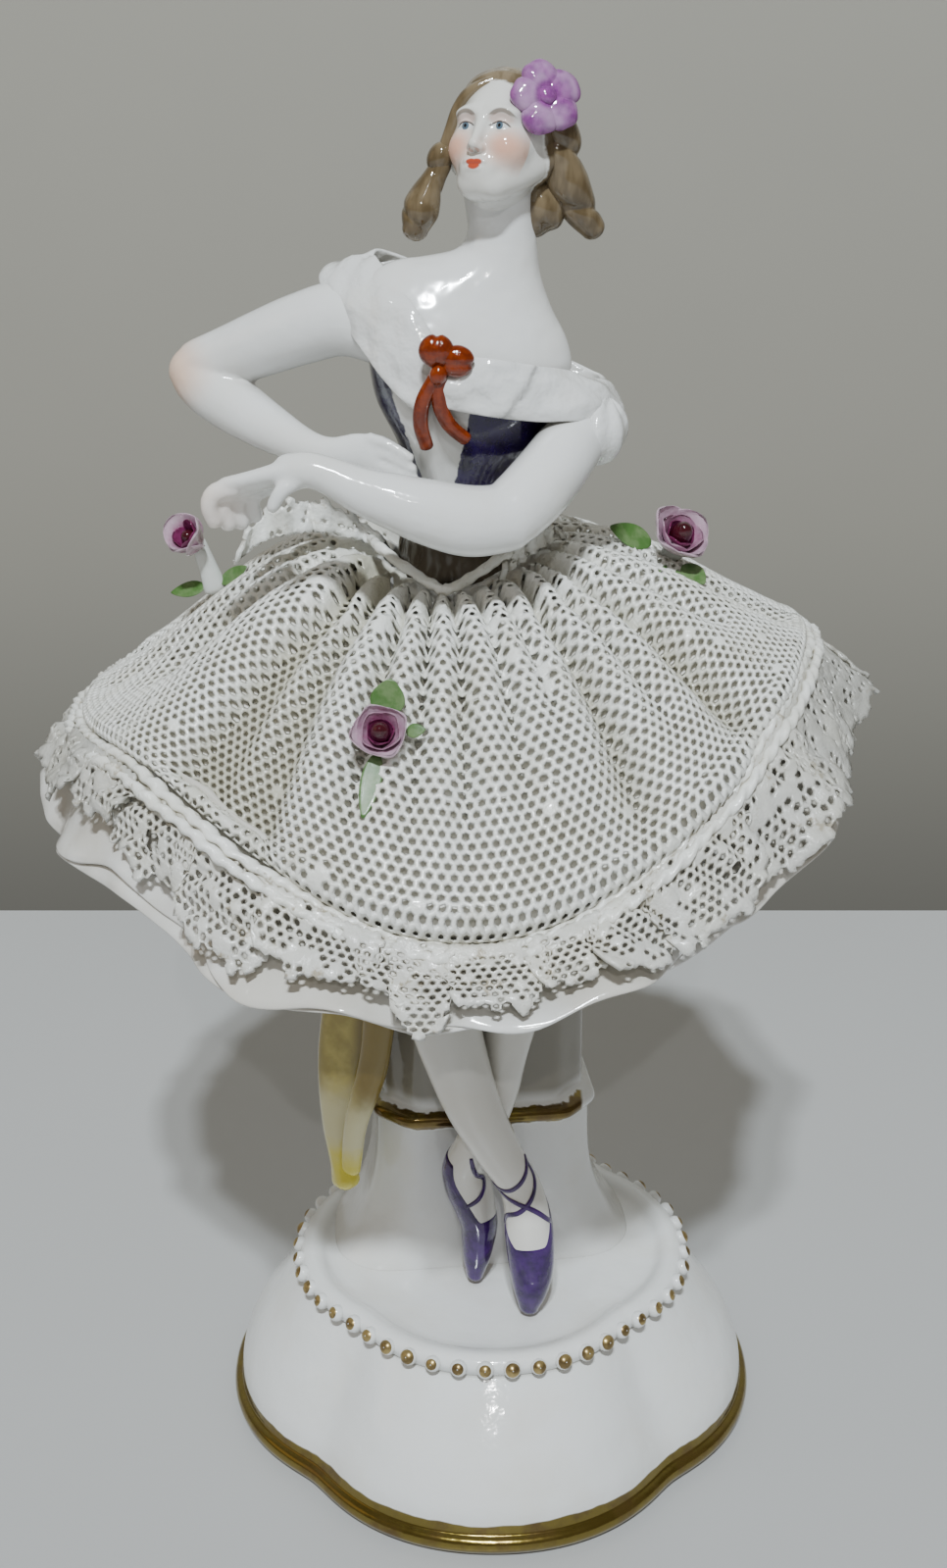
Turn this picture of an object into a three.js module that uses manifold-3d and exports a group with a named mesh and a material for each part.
// Porcelain dancer in a bell skirt of fired lace, leaning at a pedestal on a lobed plinth.
// Millimetres, +Z up. The origin is the centre of the flat underside, and she faces -Y.
import * as THREE from "three";
import Module from "manifold-3d";

const wasm = await Module();
wasm.setup();

// Clearances between pieces that touch
const GAP = 0.3;

// Plinth
const PLINTH_RADIUS = 36.2;
const PLINTH_LOBES = 4;
const PLINTH_LOBE_DEPTH = 3.4;
const GOLD_BAND_HEIGHT = 3;
const STAGE_HEIGHT = 21.5;
const STAGE_RADIUS = 26.5;
const STAGE_LOBE_DEPTH = 1.9;
const STAGE_RIM_WIDTH = 2.6;
const STAGE_RIM_HEIGHT = 0.9;
const PEARL_RADIUS = 1.05;
const PEARL_PITCH = 3.35;

// Pedestal that stands on the plinth behind the dancer
const PEDESTAL_WIDTH = 29;
const PEDESTAL_DEPTH = 19.5;
const PEDESTAL_CHAMFER = 4.4;
const PEDESTAL_TURN = THREE.MathUtils.degToRad(7);
const PEDESTAL_X = -1.7;
const PEDESTAL_FRONT = -3.2;
const PEDESTAL_FLARE = 3.8;
const LEDGE_HEIGHT = 23.5;
const LEDGE_THICKNESS = 2;
const LEDGE_OVERHANG = 0.8;
const BLOCK_HEIGHT = 36;

// Dancer
const FIGURE_HEIGHT = 153;
const UNIT = FIGURE_HEIGHT / 153;
const WAIST_WIDTH = 13.2;
const WAIST_DEPTH = 11.6;

// Skirt
const LACE_THICKNESS = 0.8;
const PETTICOAT_THICKNESS = 1;
const SKIRT_RADIUS = 44;
const SIDE_HOLLOW = 2.6;
const SIDE_SAG = 2.2;
const GATHERS = 18;
const FOLD_DEPTH = 1.5;
const CORD_RADIUS = 0.75;
const FLOUNCE_SPAN = 1;
const FLOUNCE_THICKNESS = 0.7;
const RUFFLES = 10;
const RUFFLE_DEPTH = 1.7;
const HEM_DROP = 1.2;

// Applied flowers
const PETALS = 5;
const ROSE_RADIUS = 3.7;
const ROSE_SEAT = 0.3;
const HAIR_FLOWER_RADIUS = 4.1;

const vec = (x, y, z) => new THREE.Vector3(x, y, z);
const lerp = THREE.MathUtils.lerp;
const smooth = (x, from, to) => THREE.MathUtils.smoothstep(x, from, to);
const turns = (count) => Array.from({ length: count }, (_, i) => (i / count) * 2 * Math.PI);
const steps = (count) => Array.from({ length: count + 1 }, (_, i) => i / count);

// A point of the dancer, her heights measured above the stage that she stands on
const at = (x, y, z) => vec(x * UNIT, y * UNIT, STAGE_HEIGHT + GAP + z * UNIT);

// Solids

// Rings of points as one indexed geometry, closed by joining the last to the first or by two caps
function loft(rings, joined = false) {
  const sides = rings[0].length;
  const points = rings.flat();
  const index = [];
  const last = joined ? rings.length : rings.length - 1;
  for (let k = 0; k < last; k++) {
    const next = (k + 1) % rings.length;
    for (let i = 0; i < sides; i++) {
      const j = (i + 1) % sides;
      const [a, b, c, d] = [k * sides + i, k * sides + j, next * sides + j, next * sides + i];
      index.push(a, b, c, a, c, d);
    }
  }
  if (!joined) {
    for (const [k, flip] of [[0, true], [rings.length - 1, false]]) {
      const middle = rings[k].reduce((sum, p) => sum.add(p), vec(0, 0, 0)).divideScalar(sides);
      const m = points.push(middle) - 1;
      for (let i = 0; i < sides; i++) {
        const [a, b] = [k * sides + i, k * sides + ((i + 1) % sides)];
        index.push(m, flip ? b : a, flip ? a : b);
      }
    }
  }
  return facingOut(points, index);
}

function facingOut(points, index) {
  let volume = 0;
  for (let i = 0; i < index.length; i += 3) {
    const [a, b, c] = [points[index[i]], points[index[i + 1]], points[index[i + 2]]];
    volume += a.dot(b.clone().cross(c));
  }
  if (volume < 0) index.reverse();
  const geometry = new THREE.BufferGeometry().setFromPoints(points);
  geometry.setIndex(index);
  return geometry;
}

function toSolid(geometry) {
  const vertProperties = Float32Array.from(geometry.attributes.position.array);
  const triVerts = Uint32Array.from(geometry.index.array);
  return new wasm.Manifold(new wasm.Mesh({ numProp: 3, vertProperties, triVerts }));
}

function fuse(geometries) {
  const whole = geometries.map(toSolid).reduce((sum, solid) => sum.add(solid));
  const mesh = whole.getMesh();
  const geometry = new THREE.BufferGeometry();
  geometry.setAttribute("position", new THREE.BufferAttribute(Float32Array.from(mesh.vertProperties), 3));
  geometry.setIndex(new THREE.BufferAttribute(Uint32Array.from(mesh.triVerts), 1));
  return geometry;
}

// Oval rings along a smooth path. A station is its point, half width and half depth;
// the width lies along `across`, and each end is rounded by the share of its radius in `tip`.
function ovalRings(stations, { across = vec(1, 0, 0), sides = 7, cuts = 4, tip = [0.8, 0.8] } = {}) {
  const curve = (points) => new THREE.CatmullRomCurve3(points, false, "catmullrom", 0.5);
  const path = curve(stations.map((s) => s[0]));
  const sizes = curve(stations.map((s) => vec(s[1], s[2] ?? s[1], 0)));
  const ring = (t, shrink, push) => {
    const along = path.getTangent(t).normalize();
    const wide = across.clone().addScaledVector(along, -across.dot(along)).normalize();
    const deep = along.clone().cross(wide);
    const [w, d] = [sizes.getPoint(t).x, sizes.getPoint(t).y];
    const centre = path.getPoint(t).addScaledVector(along, push * Math.min(w, d));
    return turns(sides).map((a) => centre.clone()
      .addScaledVector(wide, w * shrink * Math.cos(a))
      .addScaledVector(deep, d * shrink * Math.sin(a)));
  };
  return [ring(0, 0.6, -0.8 * tip[0]), ...steps(cuts).map((t) => ring(t, 1, 0)), ring(1, 0.6, 0.8 * tip[1])];
}

const limb = (stations, options) => loft(ovalRings(stations, options));

// A ball drawn out along its axes and turned
function blob(centre, [rx, ry, rz], turn = [0, 0, 0], [sides, cuts] = [6, 4]) {
  const rotation = new THREE.Euler(...turn);
  const rings = steps(cuts).slice(1, -1).map((t) => {
    const lift = -Math.cos(t * Math.PI);
    const wide = Math.sin(t * Math.PI);
    return turns(sides).map((a) => vec(rx * wide * Math.cos(a), ry * wide * Math.sin(a), rz * lift));
  });
  const poles = [-1, 1].map((end) => turns(sides).map((a) =>
    vec(rx * 0.12 * Math.cos(a), ry * 0.12 * Math.sin(a), rz * end * 0.99)));
  const all = [poles[0], ...rings, poles[1]];
  return loft(all.map((ring) => ring.map((p) => p.applyEuler(rotation).add(centre))));
}

// Plinth: four soft lobes, a convex skirt, and a stage with a rim of pearls

function lobed(angle, radius, depth) {
  const valley = Math.max(0, 1 - Math.sqrt(Math.cos((angle * PLINTH_LOBES) / 2) ** 2 + 0.02));
  return radius - depth * valley ** 1.4;
}

function lobedRing(radius, depth, z, sides = 32) {
  return turns(sides).map((a) => {
    const r = lobed(a, radius, depth);
    return vec(r * Math.cos(a), r * Math.sin(a), z);
  });
}

function plinth() {
  const rise = STAGE_HEIGHT - GOLD_BAND_HEIGHT;
  // Shares of the way in from the plinth's edge to the stage's, and of the way up
  const sweep = [[0, 0], [0.04, 0.17], [0.24, 0.4], [0.62, 0.66], [1.06, 0.92]];
  const rings = [
    lobedRing(PLINTH_RADIUS - 1.1, PLINTH_LOBE_DEPTH, 0),
    lobedRing(PLINTH_RADIUS - 0.2, PLINTH_LOBE_DEPTH, GOLD_BAND_HEIGHT * 0.4),
  ];
  for (const [inward, up] of sweep) {
    const radius = lerp(PLINTH_RADIUS, STAGE_RADIUS, inward);
    const depth = lerp(PLINTH_LOBE_DEPTH, STAGE_LOBE_DEPTH, inward);
    rings.push(lobedRing(radius, depth, GOLD_BAND_HEIGHT + rise * up));
  }
  const rimTop = STAGE_HEIGHT + STAGE_RIM_HEIGHT;
  rings.push(lobedRing(STAGE_RADIUS, STAGE_LOBE_DEPTH, STAGE_HEIGHT - PEARL_RADIUS * 0.9));
  rings.push(lobedRing(STAGE_RADIUS - STAGE_RIM_WIDTH * 0.5, STAGE_LOBE_DEPTH, rimTop));
  rings.push(lobedRing(STAGE_RADIUS - STAGE_RIM_WIDTH, STAGE_LOBE_DEPTH, STAGE_HEIGHT));
  return loft(rings);
}

function pearls() {
  const z = STAGE_HEIGHT + STAGE_RIM_HEIGHT - PEARL_RADIUS * 0.7;
  const count = Math.round((2 * Math.PI * (STAGE_RADIUS - STAGE_LOBE_DEPTH * 0.3)) / PEARL_PITCH);
  return turns(count).map((a) => {
    const r = lobed(a, STAGE_RADIUS, STAGE_LOBE_DEPTH);
    const pearl = new THREE.OctahedronGeometry(PEARL_RADIUS, 0);
    pearl.rotateZ(a);
    pearl.translate(r * Math.cos(a), r * Math.sin(a), z);
    return indexed(pearl);
  });
}

// A geometry whose faces share their corners
function indexed(geometry) {
  const position = geometry.attributes.position;
  const seen = new Map();
  const points = [];
  const index = [];
  for (let i = 0; i < position.count; i++) {
    const p = vec(position.getX(i), position.getY(i), position.getZ(i));
    const key = p.toArray().map((x) => x.toFixed(4)).join(" ");
    if (!seen.has(key)) seen.set(key, points.push(p) - 1);
    index.push(seen.get(key));
  }
  return facingOut(points, index);
}

// Pedestal: an oblong block with cut corners, a flaring foot, a moulded ledge and an upper block

function pedestalRing(grow, z) {
  const [w, d, c] = [PEDESTAL_WIDTH / 2 + grow, PEDESTAL_DEPTH / 2 + grow, PEDESTAL_CHAMFER];
  const outline = [
    [-w, -d + c], [-w + c, -d], [w - c, -d], [w, -d + c],
    [w, d - c], [w - c, d], [-w + c, d], [-w, d - c],
  ];
  const centre = vec(PEDESTAL_X, PEDESTAL_FRONT + PEDESTAL_DEPTH / 2, z);
  return outline.map(([x, y]) => vec(x, y, 0).applyAxisAngle(vec(0, 0, 1), PEDESTAL_TURN).add(centre));
}

function pedestal() {
  const ledge = STAGE_HEIGHT + LEDGE_HEIGHT;
  const rings = [pedestalRing(PEDESTAL_FLARE, STAGE_HEIGHT - 1)];
  for (const t of steps(4)) {
    rings.push(pedestalRing(PEDESTAL_FLARE * (1 - t) ** 2.6, lerp(STAGE_HEIGHT, ledge - LEDGE_THICKNESS, t)));
  }
  rings.push(pedestalRing(LEDGE_OVERHANG * 0.8, ledge - LEDGE_THICKNESS + 0.3));
  rings.push(pedestalRing(LEDGE_OVERHANG, ledge - LEDGE_THICKNESS / 2));
  rings.push(pedestalRing(LEDGE_OVERHANG * 0.5, ledge - 0.2));
  rings.push(pedestalRing(-LEDGE_OVERHANG, ledge + 0.6));
  rings.push(pedestalRing(-LEDGE_OVERHANG * 1.5, ledge + BLOCK_HEIGHT));
  return loft(rings);
}

// Skirt: one surface, from the gathers at the waist to the cord, shared by every layer

const WAIST = at(-5.2, -2, 98.8);
const SKIRT_X = WAIST.x;
const SKIRT_Y = WAIST.y + 3;

// The cord's route, chosen by hand round the skirt: degrees from her left, the radius as a share
// of the skirt's, the height on the dancer, and how far the hem beyond it reaches out and down
const CORD_ROUTE = [
  [-167, 1.01, 79.6, 7.4, 8.8], [-145, 0.99, 80.8, 6.4, 10], [-132, 0.985, 78.4, 6.4, 9], [-115, 0.985, 73, 6.5, 10],
  [-98, 0.99, 68, 6.4, 5.6], [-82, 0.99, 67, 6.4, 4.2], [-66, 0.98, 70.8, 6.6, 6.6], [-48, 0.97, 78, 7.4, 9],
  [-32, 0.96, 84.8, 8, 11], [-12, 0.96, 88.6, 7.6, 9.4], [15, 0.98, 87.2, 7.6, 9], [50, 1, 84.6, 8.4, 8],
  [90, 1.02, 82, 8, 8], [135, 1.03, 80.6, 8, 8], [168, 1.02, 79, 7.6, 8.4],
];

// One column of the route at any angle, as a smooth closed curve
function onRoute(angle, column) {
  const turn = THREE.MathUtils.euclideanModulo(THREE.MathUtils.radToDeg(angle) + 167, 360) - 167;
  const n = CORD_ROUTE.length;
  const next = CORD_ROUTE.findIndex((row) => row[0] > turn);
  const i = next < 0 ? n - 1 : next - 1;
  const row = (k) => CORD_ROUTE[THREE.MathUtils.euclideanModulo(k, n)];
  const span = THREE.MathUtils.euclideanModulo(row(i + 1)[0] - row(i)[0], 360);
  const t = (turn - row(i)[0]) / span;
  const [p0, p1, p2, p3] = [-1, 0, 1, 2].map((k) => row(i + k)[column]);
  return p1 + 0.5 * t * (p2 - p0 + t * (2 * p0 - 5 * p1 + 4 * p2 - p3 + t * (3 * (p1 - p2) + p3 - p0)));
}

const cordHeight = (angle) => at(0, 0, onRoute(angle, 2)).z;

// How far the cloth stands up round the waist before it falls: little in front
const standUp = (angle) => lerp(1.6, 0.3, smooth(-Math.sin(angle), 0.1, 0.95)) * UNIT;

// How far it hangs in at each side, by the share of the way out
const hollow = (angle, out) =>
  SIDE_HOLLOW * Math.cos(angle) ** 4 * Math.sin(Math.PI * THREE.MathUtils.clamp(out, 0, 1) ** 1.3);

// How far it sags between the waist and the cord on her right
const sag = (angle, down) =>
  SIDE_SAG * Math.max(0, -Math.cos(angle)) ** 4 * Math.sin(Math.PI * THREE.MathUtils.clamp(down, 0, 1));

// How far the gathers dip under the point of the bodice
const dip = (angle) => 2 * UNIT * Math.max(0, -Math.sin(angle)) ** 3;

// Shares of the way out from the waist to the cord, and of the way down
const BELL = new THREE.CatmullRomCurve3([
  vec(0, 0, 0), vec(0.16, 0.01, 0), vec(0.34, 0.07, 0), vec(0.57, 0.24, 0),
  vec(0.8, 0.54, 0), vec(0.955, 0.82, 0), vec(0.995, 0.93, 0), vec(0.975, 1, 0),
]);

// A point of the bell at the share t of the way down, `inside` millimetres under its outer face
function bellPoint(angle, t, inside = 0, folded = true) {
  const [out, down] = BELL.getPoint(t).toArray();
  const [halfWidth, halfDepth] = [WAIST_WIDTH / 2 + GAP, WAIST_DEPTH / 2 + GAP];
  const waist = 1 / Math.hypot(Math.cos(angle) / halfWidth, Math.sin(angle) / halfDepth);
  const neck = waist + Math.max(LACE_THICKNESS, PETTICOAT_THICKNESS) + 0.1;
  const gathered = Math.cos(GATHERS * angle) * smooth(t, 0, 0.12) * (1 - smooth(t, 0.22, 0.6));
  const draped = Math.cos((GATHERS / 2) * angle + 0.7) * smooth(t, 0.1, 0.45) * (1 - smooth(t, 0.75, 1));
  const fold = folded ? FOLD_DEPTH * (0.45 * gathered + 0.55 * draped) : 0;
  const swing = smooth(t, 0, 0.5);
  const plain = lerp(neck, SKIRT_RADIUS * onRoute(angle, 1), out) - hollow(angle, out);
  const radius = plain + fold * smooth(t, 0.2, 0.9);
  const stand = standUp(angle) * Math.sin(Math.PI * THREE.MathUtils.clamp(out, 0, 1) ** 0.6);
  const rise = stand - sag(angle, down);
  const z = lerp(WAIST.z - dip(angle), cordHeight(angle), down) + rise + fold * (1 - smooth(t, 0.4, 0.95));
  const point = vec(
    lerp(WAIST.x, SKIRT_X, swing) + radius * Math.cos(angle),
    lerp(WAIST.y, SKIRT_Y, swing) + radius * Math.sin(angle),
    z,
  );
  if (inside === 0) return point;
  const lean = lerp(0, Math.PI / 2, smooth(out + 0.3 * down, 0.25, 1.25));
  const inwards = smooth(t, 0, 0.12);
  const back = inside * lerp(1, Math.sin(lean), inwards);
  return point.sub(vec(back * Math.cos(angle), back * Math.sin(angle), inside * Math.cos(lean) * inwards));
}

// The cord lies just outside the notch under the lace
function cordPoint(angle) {
  const radius = SKIRT_RADIUS * onRoute(angle, 1);
  return vec(SKIRT_X + radius * Math.cos(angle), SKIRT_Y + radius * Math.sin(angle), cordHeight(angle));
}

// A point of the flounce, from the cord (s = 0) to its edge (s = 1), `under` it by some millimetres
function flouncePoint(angle, s, under = 0, longer = 0) {
  const reach = vec(onRoute(angle, 3), -onRoute(angle, 4), 0).multiplyScalar(FLOUNCE_SPAN);
  const along = reach.clone().normalize();
  const wave = Math.cos(RUFFLES * angle + 0.6 * Math.sin(2 * angle))
    + 0.35 * Math.cos((2 * RUFFLES + 1) * angle);
  const lift = RUFFLE_DEPTH * wave * s ** 1.3 - under;
  const way = s * (reach.length() + longer);
  const out = way * along.x - lift * along.y;
  const up = way * along.y + lift * along.x;
  return cordPoint(angle).add(vec(Math.cos(angle) * out, Math.sin(angle) * out, up));
}

// A thin closed layer between an outer and an inner face, each given as rings from one edge to the other
const layer = (outer, inner) => loft([...outer, ...inner.toReversed()], true);

function laceSkirt() {
  const sides = GATHERS * 3;
  const above = vec(0, 0, CORD_RADIUS + GAP + 0.2);
  const ring = (t, inside) => turns(sides).map((a) =>
    bellPoint(a, t, inside).addScaledVector(above, smooth(t, 0.6, 1)));
  const rows = [0, 0.12, 0.3, 0.52, 0.77, 1];
  return layer(rows.map((t) => ring(t, 0)), rows.map((t) => ring(t, LACE_THICKNESS)));
}

// Depth of the petticoat under the lace's outer face: clear of every fold, close again at the cord
function petticoatDepth(t) {
  const roomy = FOLD_DEPTH + LACE_THICKNESS + GAP + 1.2;
  return lerp(roomy, CORD_RADIUS + GAP, smooth(t, 0.86, 1));
}

function petticoat() {
  const sides = RUFFLES * 4;
  const neckDrop = LACE_THICKNESS + GAP + 0.9;
  const face = (inside, rows) => {
    const bell = rows.map((t) => turns(sides).map((a) => {
      const depth = lerp(0, petticoatDepth(t), smooth(t, 0, 0.12)) + inside;
      const point = bellPoint(a, t, depth, false);
      point.z -= neckDrop * (1 - smooth(t, 0, 0.3));
      return point;
    }));
    const hem = [0.1, 0.6, 1].map((s) => turns(sides).map((a) => {
      const under = CORD_RADIUS + 1.3 * GAP + FLOUNCE_THICKNESS / 2 + inside;
      return flouncePoint(a, s, under, HEM_DROP);
    }));
    return [...bell, ...hem];
  };
  return layer(face(0, [0, 0.2, 0.56, 0.86]), face(PETTICOAT_THICKNESS, [0, 0.5, 0.86]));
}

function flounce() {
  const sides = RUFFLES * 4;
  const face = (under) => [0.13, 0.6, 1].map((s) => turns(sides).map((a) => flouncePoint(a, s, under)));
  return layer(face(-FLOUNCE_THICKNESS / 2), face(FLOUNCE_THICKNESS / 2));
}

function hemCord() {
  const rings = turns(36).map((a) => {
    const centre = cordPoint(a);
    const outwards = vec(Math.cos(a), Math.sin(a), 0);
    return turns(4).map((b) => centre.clone().addScaledVector(outwards, CORD_RADIUS * Math.cos(b))
      .add(vec(0, 0, CORD_RADIUS * Math.sin(b))));
  });
  return loft(rings, true);
}

// Dancer

const LEAN = THREE.MathUtils.degToRad(23);

function torso() {
  // Point, half width, half depth, and the share of the shoulders' lean
  const sections = [
    [at(-5, -2, 76), 7, 6, 0],
    [at(-5, -1.6, 88), 8, 6.6, 0],
    [at(-5.2, -2, 95.5), WAIST_WIDTH / 2 / UNIT, WAIST_DEPTH / 2 / UNIT, 0],
    [at(-5.2, -2, 101.5), WAIST_WIDTH / 2 / UNIT, WAIST_DEPTH / 2 / UNIT, 0.1],
    [at(-4.7, -3.4, 108), 7.4, 6.4, 0.35],
    [at(-4.3, -5.4, 115), 9.9, 8, 0.7],
    [at(-4, -6, 122), 11.6, 7, 1],
    [at(-3.2, -5.4, 126.4), 13, 5.6, 1],
    [at(-1.8, -4.9, 129), 11.4, 4.6, 1],
    [at(-0.2, -4.4, 131.2), 7, 4, 1],
    [at(0.9, -4.1, 133.6), 4.2, 3.8, 0.8],
    [at(1.6, -4, 138), 3.6, 3.6, 0.3],
    [at(1.5, -4, 142), 3.6, 3.6, 0],
  ];
  return loft(sections.map(([centre, w, d, lean]) => turns(10).map((a) =>
    vec(w * UNIT * Math.cos(a), d * UNIT * Math.sin(a), 0)
      .applyAxisAngle(vec(0, 1, 0), LEAN * lean)
      .add(centre))));
}

const HEAD = at(0.3, -5, 145);
const HEAD_TURN = [-14, 8, -26].map((turn) => THREE.MathUtils.degToRad(turn));

// A point of the head in its own frame: x to her left, y behind, z to the crown
const onHead = (x, y, z) =>
  vec(x, y, z).multiplyScalar(UNIT).applyEuler(new THREE.Euler(...HEAD_TURN)).add(HEAD);

// A limb whose stations are written in units of the dancer
const drawn = (stations, options) =>
  limb(stations.map(([p, w, d]) => [p, w * UNIT, (d ?? w) * UNIT]), options);

function head() {
  // Height, half width, half depth and how far forward of the skull's axis
  const sections = [
    [-7, 1.8, 1.6, 3.4], [-6.2, 3, 3.2, 2.3], [-3.8, 4.4, 5.2, 0.8], [-1, 5.1, 6.1, 0.1],
    [2, 5.3, 6.4, -0.1], [4.8, 4.6, 5.6, -0.3], [6.6, 2.6, 3.2, -0.6],
  ];
  const skull = loft(sections.map(([z, w, d, ahead]) => turns(10).map((a) =>
    onHead(w * Math.cos(a), -ahead + d * Math.sin(a), z))));
  const nose = drawn([[onHead(0, -5.6, 1), 0.6], [onHead(0, -6.6, -1.7), 0.85]], { sides: 5, cuts: 1 });
  return [skull, nose];
}

function hair() {
  const cap = blob(onHead(0, 1.1, 1.5), [5.8, 6.2, 6.2].map((r) => r * UNIT), HEAD_TURN, [8, 5]);
  const bun = blob(onHead(3.6, 5.2, -4.6), [3.4, 3, 4.2].map((r) => r * UNIT), HEAD_TURN, [7, 4]);
  const nearCurl = drawn([
    [at(-4.7, -4.2, 144.5), 1.6], [at(-7, -5.4, 140.6), 1.9],
    [at(-8.4, -5.6, 137.4), 2], [at(-8.6, -5.6, 136.4), 1.8],
  ]);
  const farCurl = drawn([
    [at(6.4, -3, 146.5), 1.9], [at(7.9, -3.2, 142.6), 2.3],
    [at(9.2, -3, 138.8), 2.2], [at(10.2, -2.8, 136.2), 1.8],
  ]);
  return [cap, bun, nearCurl, farCurl];
}

// Bertha collar: a broad turned-down band from each shoulder to the bow
function collar() {
  const across = vec(0, -0.35, 1);
  const cloth = (stations, cuts) => drawn(stations, { across, cuts, sides: 6 });
  const right = cloth([
    [at(-15, 2.5, 129.6), 3.4, 2.6], [at(-16.4, -3, 130), 4.4, 3],
    [at(-13, -8.6, 125.6), 4.2, 2.4], [at(-9, -12, 120.6), 3.6, 1.9], [at(-5.8, -13, 116.8), 2.6, 1.4],
  ], 5);
  const left = cloth([
    [at(9.6, 1, 119.6), 3.4, 3], [at(11.2, -5.4, 117.2), 4, 3.6], [at(7.4, -10.4, 118), 3.6, 2.6],
    [at(2.6, -12.6, 119.2), 3.2, 2.1], [at(-3.4, -13.2, 118.4), 2.8, 1.6],
  ], 5);
  const back = cloth([
    [at(-15, 2.5, 129.6), 3.2, 2.4], [at(-8, 3.2, 127), 3.2, 2.2],
    [at(2, 3.2, 123), 3.2, 2.2], [at(9.6, 1, 119.6), 3.2, 2.4],
  ], 3);
  const sleeve = blob(at(11.2, -5.8, 115.4), [4.3, 4.2, 4].map((r) => r * UNIT), [0, 0.4, 0], [7, 4]);
  return [left, right, back, sleeve];
}

// Fingers from the knuckles to their tips, each a slim limb with a slight bend
function fingers(knuckles, tips, radius) {
  return knuckles.map((from, i) => {
    const middle = from.clone().lerp(tips[i], 0.5).add(vec(0, 0, 0.5 * UNIT));
    return drawn([[from, radius], [middle, radius * 0.92], [tips[i], radius * 0.7]], { sides: 4, cuts: 1 });
  });
}

const arm = (stations, cuts, across = vec(0, 0, 1)) => drawn(stations, { across, cuts });

// Her right arm: elbow out, the back of the hand on the waist
function hipArm() {
  const upper = arm([
    [at(-10.6, -4.4, 125.4), 4.2], [at(-17.4, -3.2, 127.1), 4.2], [at(-26.5, 0.5, 123.6), 3.9],
    [at(-32, 2.5, 121.6), 3.6], [at(-36, 3, 120.2), 3.2],
  ], 4);
  const fore = arm([
    [at(-36, 3, 119.8), 3.2], [at(-33.6, 1.5, 117.8), 3.3], [at(-30, 0, 116.4), 3.3],
    [at(-25.7, -3, 114.7), 2.6], [at(-21.6, -6, 112.9), 1.9], [at(-18.5, -7.6, 112.7), 1.7],
    [at(-15.1, -8.3, 112.9), 2.3, 1.4], [at(-11.9, -8.6, 112.4), 2.4, 1.2],
  ], 7);
  const knuckles = [113.6, 112, 110.4].map((z) => at(-11.2, -8.6, z));
  const tips = [112.4, 110.6, 109].map((z) => at(-6.8, -8.6, z));
  return [upper, fore, ...fingers(knuckles, tips, 0.85)];
}

// Her left arm: bent across the waist, the hand drooping from the wrist
function crossArm() {
  const upper = arm([
    [at(8.4, -6, 117.6), 4], [at(9.4, -8.4, 115.2), 4], [at(7.2, -11.8, 113), 3.9], [at(4.2, -16, 110), 3.8],
    [at(1.6, -18.6, 107.8), 3.6],
  ], 4, vec(1, 0, 0.4));
  const fore = arm([
    [at(1.2, -18.8, 107.4), 3.7], [at(-3.6, -20, 107.6), 3.9], [at(-7.3, -20.5, 108.6), 3.6],
    [at(-14.2, -20.5, 110.7), 2.5], [at(-19.1, -20, 112.8), 1.8], [at(-21.4, -19.6, 113), 1.8, 1.6],
    [at(-24.6, -18.8, 112), 2, 1.5], [at(-27.6, -18, 110.7), 2, 1.4], [at(-29.4, -17.4, 109.9), 1.7, 1.3],
  ], 8);
  const knuckles = [at(-30, -18, 109.9), at(-29.4, -17, 109.6), at(-28.4, -16, 109.2)];
  const tips = [at(-32.2, -17.6, 106.2), at(-30, -16, 104.8), at(-27.6, -15, 104.9)];
  const thumb = drawn([
    [at(-22.3, -20, 111.6), 0.9], [at(-23.6, -20.6, 110.2), 0.9], [at(-24.2, -20.4, 108.6), 0.7],
  ], { sides: 4, cuts: 1 });
  return [upper, fore, ...fingers(knuckles, tips, 0.95), thumb];
}

// A leg from the toe of its slipper up into the hips
function leg(toe, ball, heel, ankle, calf, knee, hip) {
  const foot = drawn([
    [toe, 1.5, 1.3], [ball, 2.9, 2.2], [ball.clone().lerp(ankle, 0.45), 2.8, 2.7], [ankle, 2.5, 2.7],
  ], { sides: 6, cuts: 4, tip: [0.3, 0] });
  const heelPad = drawn([[heel, 1.9], [heel.clone().lerp(ball, 0.45), 1.7]], { sides: 6, cuts: 1 });
  const shank = drawn([
    [ankle.clone().lerp(ball, 0.12), 2.5, 2.7], [ankle.clone().lerp(calf, 0.15), 2.6, 2.7],
    [ankle.clone().lerp(calf, 0.55), 4], [calf, 4.9, 5], [knee, 4.4, 4.6],
    [knee.clone().lerp(hip, 0.5), 6], [hip, 7],
  ], { sides: 6, cuts: 4, tip: [0, 0.5] });
  return [foot, heelPad, shank];
}

function dancer() {
  const front = leg(
    at(4.9, -17.7, 0.5), at(4.6, -17.6, 6), at(3.2, -13.6, 18.5), at(2.6, -16.4, 22.5),
    at(-5.4, -14.4, 40), at(-8, -12, 56), at(-7, -4, 80),
  );
  const back = leg(
    at(-2.6, -10.8, 0.5), at(-3, -10.6, 6), at(-6.2, -9.6, 18.5), at(-3.8, -11, 21.5),
    at(3.4, -9.4, 38), at(3.6, -9, 56), at(-2, -2.5, 80),
  );
  return fuse([torso(), ...head(), ...hair(), ...collar(), ...hipArm(), ...crossArm(), ...front, ...back]);
}

// Applied trimmings

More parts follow.
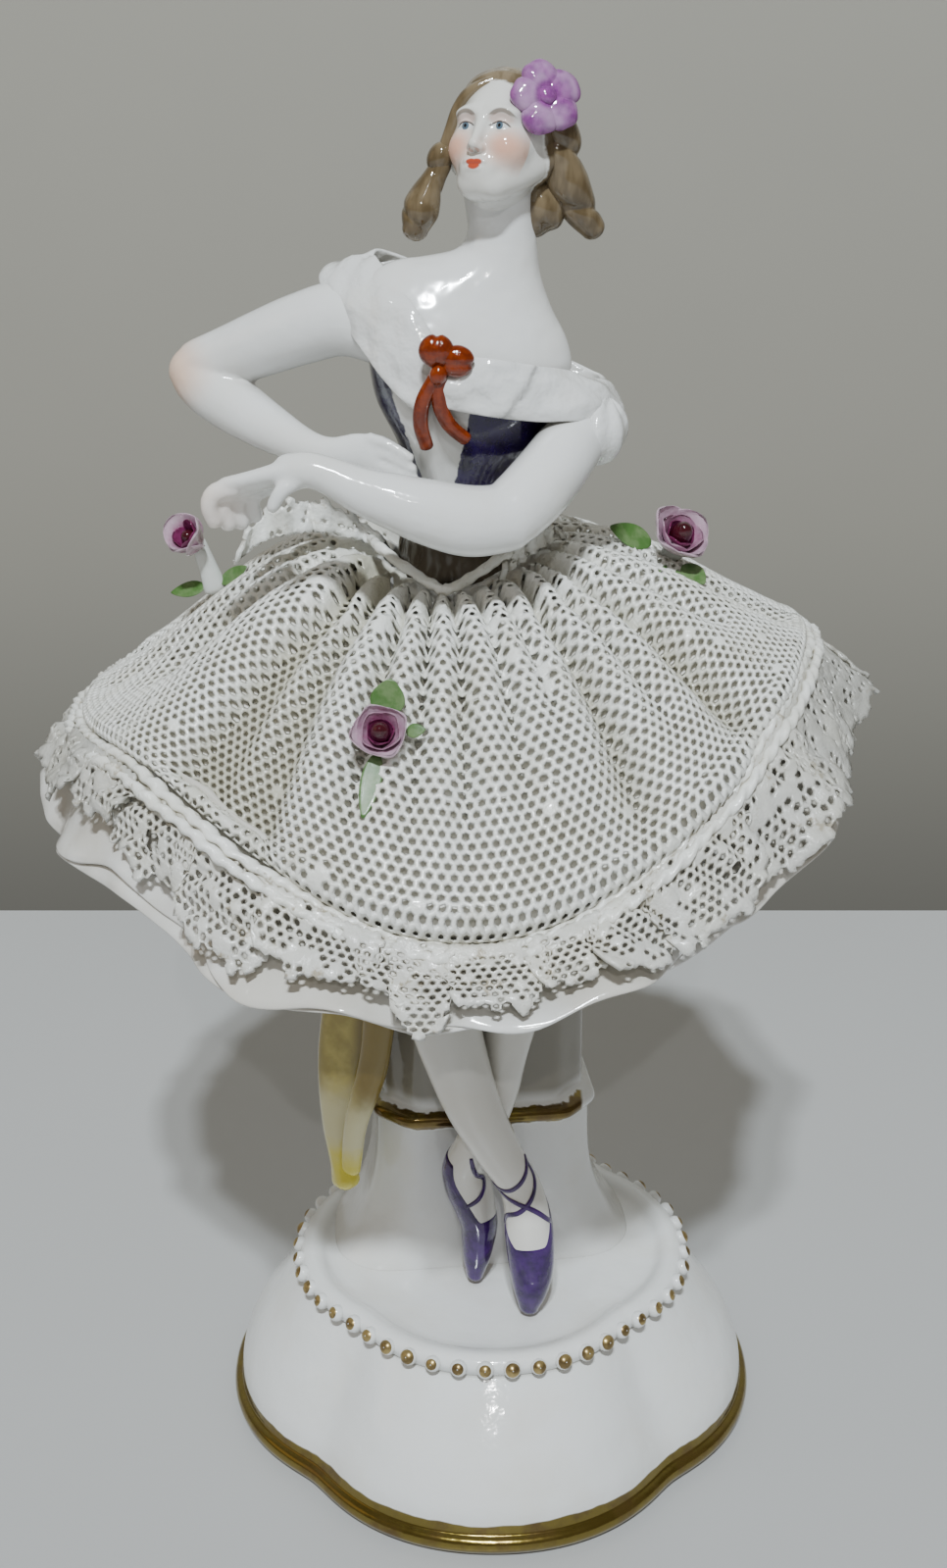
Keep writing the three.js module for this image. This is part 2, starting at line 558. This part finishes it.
// A petal or leaf: a flat pointed oval from its root along `along`, lying across `flat`
function blade(root, along, flat, length, width, thickness) {
  const end = root.clone().addScaledVector(along, length);
  const middle = root.clone().lerp(end, 0.55);
  return limb([
    [root, width * 0.3, thickness], [middle, width, thickness], [end, width * 0.25, thickness * 0.8],
  ], { across: flat, sides: 4, cuts: 2, tip: [0.5, 0.5] });
}

// Two axes square to a direction
function sideways(direction) {
  const first = vec(0, 0, 1).cross(direction).normalize();
  return [first, direction.clone().cross(first)];
}

// A flower as one cup of petals round a heart. A row is a radius share, a height share and how
// deep the petals part.
function bloom(foot, outwards, radius, sides, rows) {
  const [u, v] = sideways(outwards);
  return loft(rows.map(([wide, high, lobes], k) => turns(sides).map((a) => {
    const r = radius * wide * (1 + lobes * Math.cos(PETALS * a));
    return foot.clone().addScaledVector(outwards, radius * high)
      .addScaledVector(u, r * Math.cos(a + 0.1 * k)).addScaledVector(v, r * Math.sin(a + 0.1 * k));
  })));
}

const ROSE_ROWS = [
  [0.2, 0, 0], [0.6, 0.35, 0.05], [0.96, 0.95, 0.14],
  [0.84, 1, 0.14], [0.42, 0.6, 0.1], [0.3, 1.15, 0.1],
];
const rose = (foot, outwards, radius) => bloom(foot, outwards, radius, PETALS * 2, ROSE_ROWS);

// A rose with leaves, stuck to the lace where `place` says, each leaf by its turn, length and reach
function spray(angle, t, leaves, tilt = 0) {
  const along = bellPoint(angle, t + 0.02, 0, false).sub(bellPoint(angle, t - 0.02, 0, false));
  const round = bellPoint(angle + 0.02, t, 0, false).sub(bellPoint(angle - 0.02, t, 0, false));
  const outwards = round.cross(along).normalize();
  if (outwards.dot(vec(Math.cos(angle), Math.sin(angle), 0.6)) < 0) outwards.negate();
  const foot = bellPoint(angle, t).addScaledVector(outwards, GAP + ROSE_SEAT);
  const lifted = foot.clone().addScaledVector(outwards, FOLD_DEPTH * 0.9);
  const facing = outwards.clone().add(vec(0, -tilt, 0)).normalize();
  const [u, v] = sideways(outwards);
  const blades = leaves.map(([turn, length, width]) => {
    const spread = u.clone().multiplyScalar(Math.cos(turn)).addScaledVector(v, Math.sin(turn));
    const root = lifted.clone().addScaledVector(spread, 0.6);
    return blade(root, spread, outwards.clone().cross(spread), length, width, 0.4);
  });
  return fuse([rose(foot, facing, ROSE_RADIUS), ...blades]);
}

const HAIR_FLOWER_ROWS = [
  [0.35, 0, 0], [0.84, 0.16, 0.1], [0.9, 0.42, 0.14],
  [0.66, 0.6, 0.14], [0.3, 0.4, 0], [0.24, 0.66, 0],
];

function hairFlower() {
  const outwards = vec(0.35, -0.85, 0.3).normalize();
  return bloom(at(4.9, -8, 149.9), outwards, HAIR_FLOWER_RADIUS, PETALS * 3, HAIR_FLOWER_ROWS);
}

function bow() {
  const knot = at(-5.6, -16.2, 122.6);
  const beside = (x, y, z) => vec(x, y, z).multiplyScalar(UNIT).add(knot);
  const puff = (centre, size) => blob(centre, size.map((r) => r * UNIT));
  const loops = [[-1.2, 2, 1.7], [1, 1.4, 1.5]].map(([x, z, r]) => puff(beside(x, 0, z), [r, 0.9, r]));
  const tails = [[-2.3, -8.6], [1.9, -8.2]].map(([x, z]) => drawn([
    [knot, 0.8, 0.7], [beside(x * 0.7, 0.5, z * 0.5), 0.95, 0.6], [beside(x, 0.9, z), 0.85, 0.5],
  ], { sides: 5, cuts: 1 }));
  return fuse([puff(knot, [1.3, 1, 1.2]), ...loops, ...tails]);
}

// A shawl's end hanging beside the pedestal in two folds that meet in a rolled tip
function shawl() {
  const side = PEDESTAL_X - PEDESTAL_WIDTH / 2;
  const top = STAGE_HEIGHT + LEDGE_HEIGHT;
  const on = (x, y, z) => vec(side + x * UNIT, y * UNIT, top + z * UNIT);
  const fold = (stations) => drawn(stations, { across: vec(1, -0.5, 0), sides: 6, cuts: 4 });
  const outer = fold([
    [on(-1.2, 3, 22), 2.6, 1.4], [on(-3.1, 1.5, 9), 3, 1.5],
    [on(-3.9, -0.8, -1.5), 2.5, 1.4], [on(-3.4, -3.2, -11.4), 1.5, 1.2],
  ]);
  const inner = fold([
    [on(0.2, -1, 20), 2, 1.2], [on(-0.2, -3, 8), 1.8, 1.2],
    [on(-1.8, -4.2, -2.5), 1.3, 1], [on(-3, -3.6, -11), 1.2, 1],
  ]);
  return fuse([outer, inner]);
}

// Materials
const glaze = (color, roughness = 0.14) =>
  new THREE.MeshStandardMaterial({ color, roughness, metalness: 0 });
const WHITE = glaze(0xe9e8e2);
const LACE = glaze(0xe4dfd0, 0.4);
const ROSE = glaze(0xb0628c, 0.2);

const figurine = new THREE.Group();

function add(name, geometry, material) {
  geometry.computeVertexNormals();
  const mesh = new THREE.Mesh(geometry, material);
  mesh.name = name;
  figurine.add(mesh);
}

add("base", fuse([plinth(), ...pearls(), pedestal()]), WHITE);
add("dancer", dancer(), WHITE);
add("petticoat", petticoat(), WHITE);
add("lace_skirt", laceSkirt(), LACE);
add("hem_cord", hemCord(), LACE);
add("lace_flounce", flounce(), LACE);
add("rose_spray_left", spray(2.96, 0.47, [[0.4, 4.6, 1.4], [-0.9, 5, 1.5]], 0.5), ROSE);
add("rose_spray_front", spray(-1.79, 0.505, [[1.4, 5, 1.4], [0.1, 3.4, 1.1], [-1.7, 6, 1.3]], 0.3), ROSE);
add("rose_spray_right", spray(0.06, 0.45, [[2.9, 6, 1.3], [-1.2, 4.4, 1.6], [-0.3, 3.6, 1]], 0.5), ROSE);
add("hair_flower", hairFlower(), glaze(0xc79ad6, 0.2));
add("bow", bow(), glaze(0xa8420f, 0.12));
add("shawl", shawl(), glaze(0xdcd06a, 0.2));

export default figurine;
